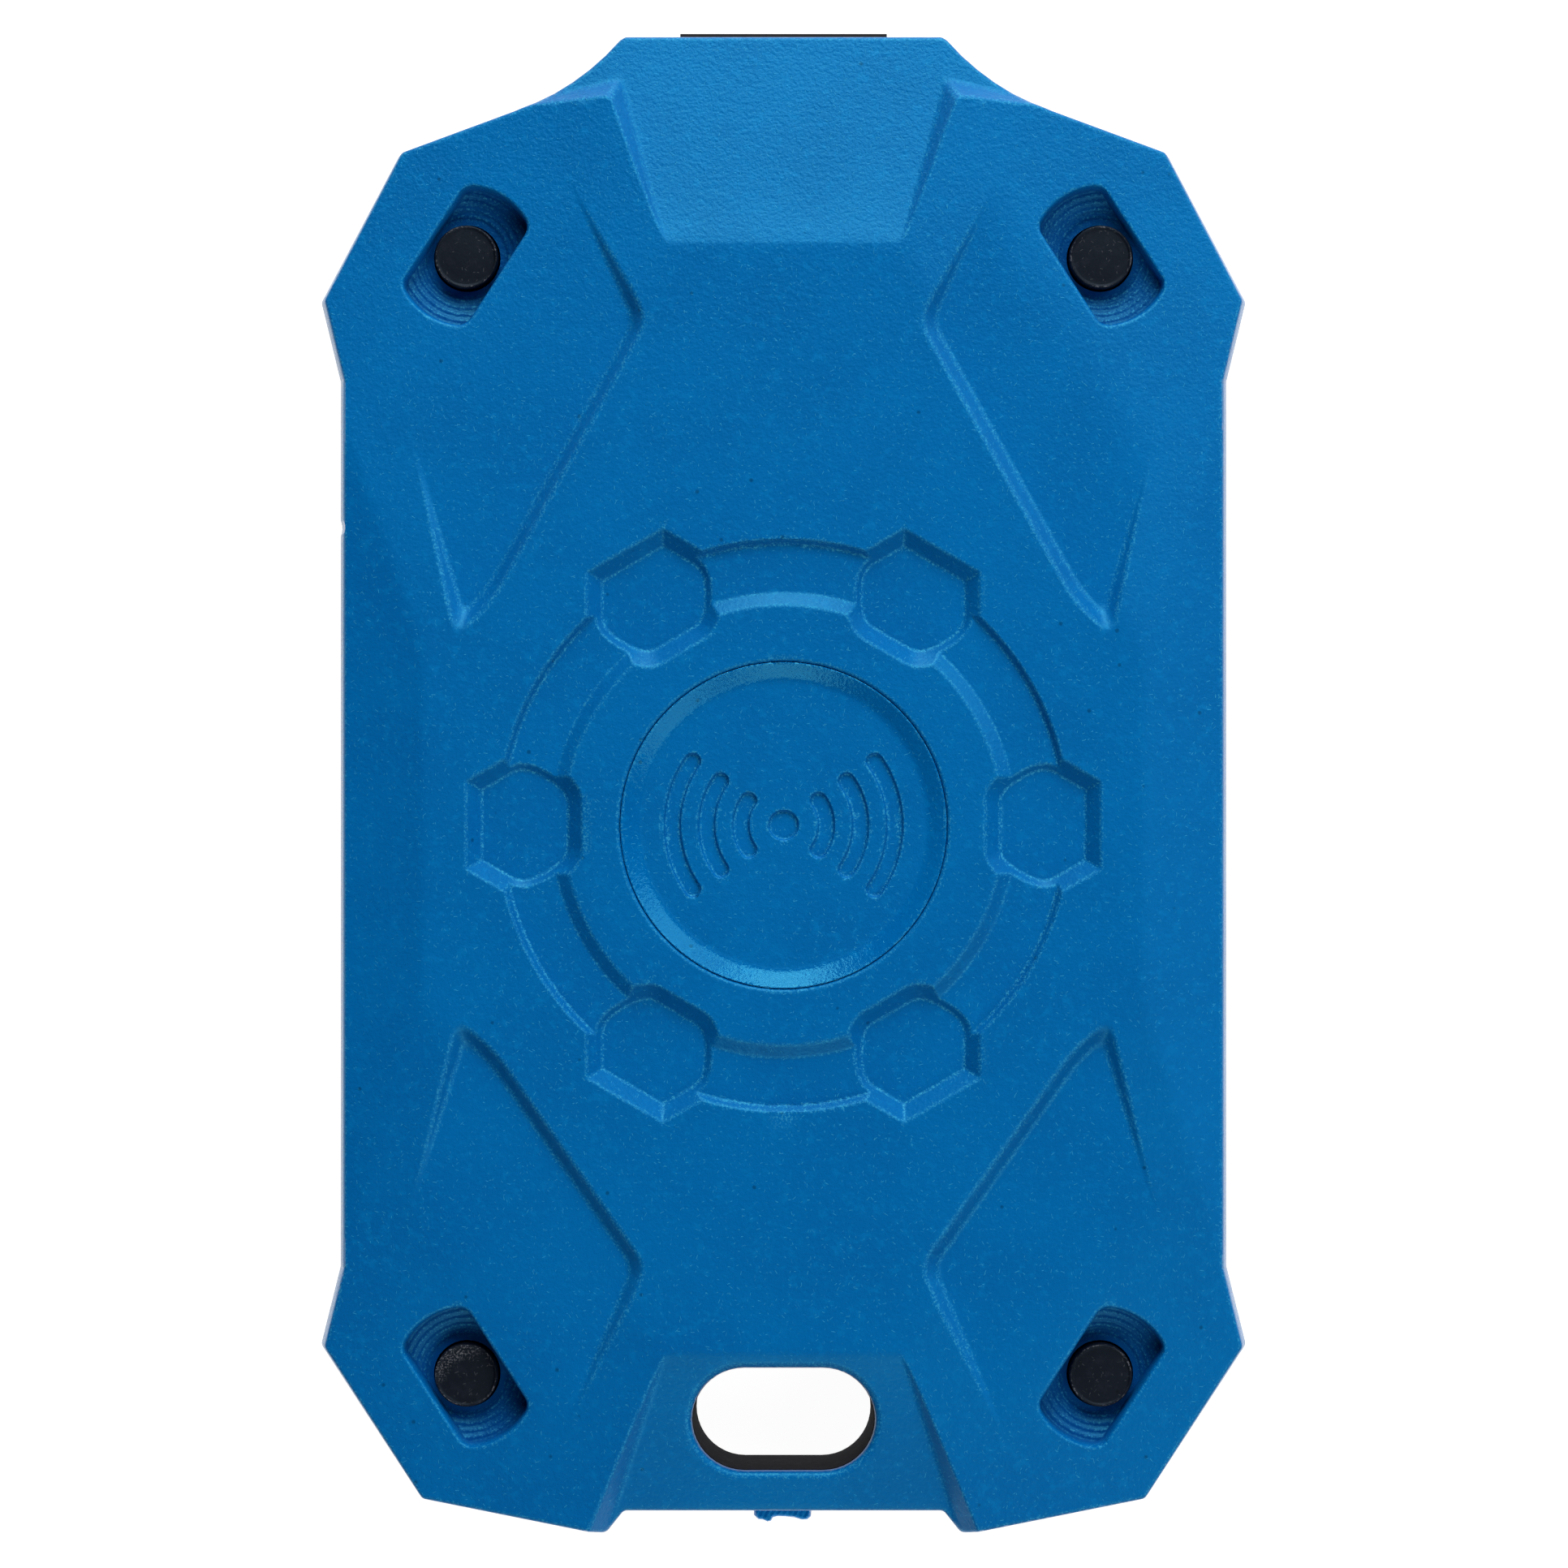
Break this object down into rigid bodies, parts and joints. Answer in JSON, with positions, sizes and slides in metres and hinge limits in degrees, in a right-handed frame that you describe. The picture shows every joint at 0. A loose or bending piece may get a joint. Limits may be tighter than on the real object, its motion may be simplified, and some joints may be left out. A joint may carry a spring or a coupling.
{
  "type": "bluetooth tracker tag",
  "caption": "Rugged card-format tracker tag with a two-part moulded case, a central press pad, a sealed charging port and a lanyard slot at its foot.",
  "frame": {"origin": "centre of the bounding box on the rear face, the face that the tag lies on", "axes": "+X to the tag's right seen from the front, +Y to its top end with the charging port, +Z out of the front face"},
  "size_m": [0.06, 0.097, 0.0096],
  "materials": {
    "blue_nylon": "glass-filled nylon, light spark-eroded grain with fine pale fibre flecks",
    "black_nylon": "black glass-filled nylon, satin",
    "silicone": "matt black silicone",
    "ivory_nylon": "natural nylon, satin",
    "board_laminate": "green solder mask over glass laminate",
    "tinned_steel": "bright tinned steel",
    "white_ceramic": "fired white ceramic, matt",
    "chip_epoxy": "matt black moulded epoxy",
    "pouch_foil": "laminated aluminium pouch foil",
    "grey_foam": "dark grey open-cell foam",
    "red_insulation": "red wire insulation",
    "black_insulation": "black wire insulation",
    "piezo_brass": "rolled brass, satin",
    "coil_film": "etched copper under amber film"
  },
  "bodies": {
    "case": {"front_shell": "blue_nylon", "rear_shell": "black_nylon", "button_boot": "silicone", "boot_frame": "ivory_nylon", "case_gasket": "silicone", "retaining_pin_1": "black_nylon", "retaining_pin_2": "black_nylon", "retaining_pin_3": "black_nylon", "retaining_pin_4": "black_nylon", "main_board": "board_laminate", "board_screw_1": "tinned_steel", "board_screw_2": "tinned_steel", "board_screw_3": "tinned_steel", "board_screw_4": "tinned_steel", "radio_module": "board_laminate", "radio_can": "tinned_steel", "chip_antenna": "white_ceramic", "crystal": "tinned_steel", "accelerometer": "chip_epoxy", "memory_chip": "chip_epoxy", "charger_chip": "chip_epoxy", "power_inductor": "chip_epoxy", "usb_receptacle": "tinned_steel", "usb_tongue": "chip_epoxy", "switch_body": "chip_epoxy", "battery_pouch": "pouch_foil", "battery_foam": "grey_foam", "battery_protection_board": "board_laminate", "battery_header": "ivory_nylon", "battery_plug": "ivory_nylon", "battery_lead_positive": "red_insulation", "battery_lead_negative": "black_insulation", "piezo_plate": "piezo_brass", "piezo_ceramic": "white_ceramic", "piezo_lead_positive": "red_insulation", "piezo_lead_negative": "black_insulation", "nfc_coil": "coil_film"},
    "button": {"button_cap": "blue_nylon", "switch_plunger": "ivory_nylon"},
    "plug": {"port_plug": "silicone"}
  },
  "joints": [
    {"name": "button_press", "type": "slide", "parent": "case", "child": "button", "axis": [0, 0, -1], "range_m": [0, 0.00035], "stiffness_N_per_m": 2500},
    {"name": "port_plug_pull", "type": "slide", "parent": "case", "child": "plug", "axis": [0, 1, 0], "range_m": [0, 0.006]}
  ]
}
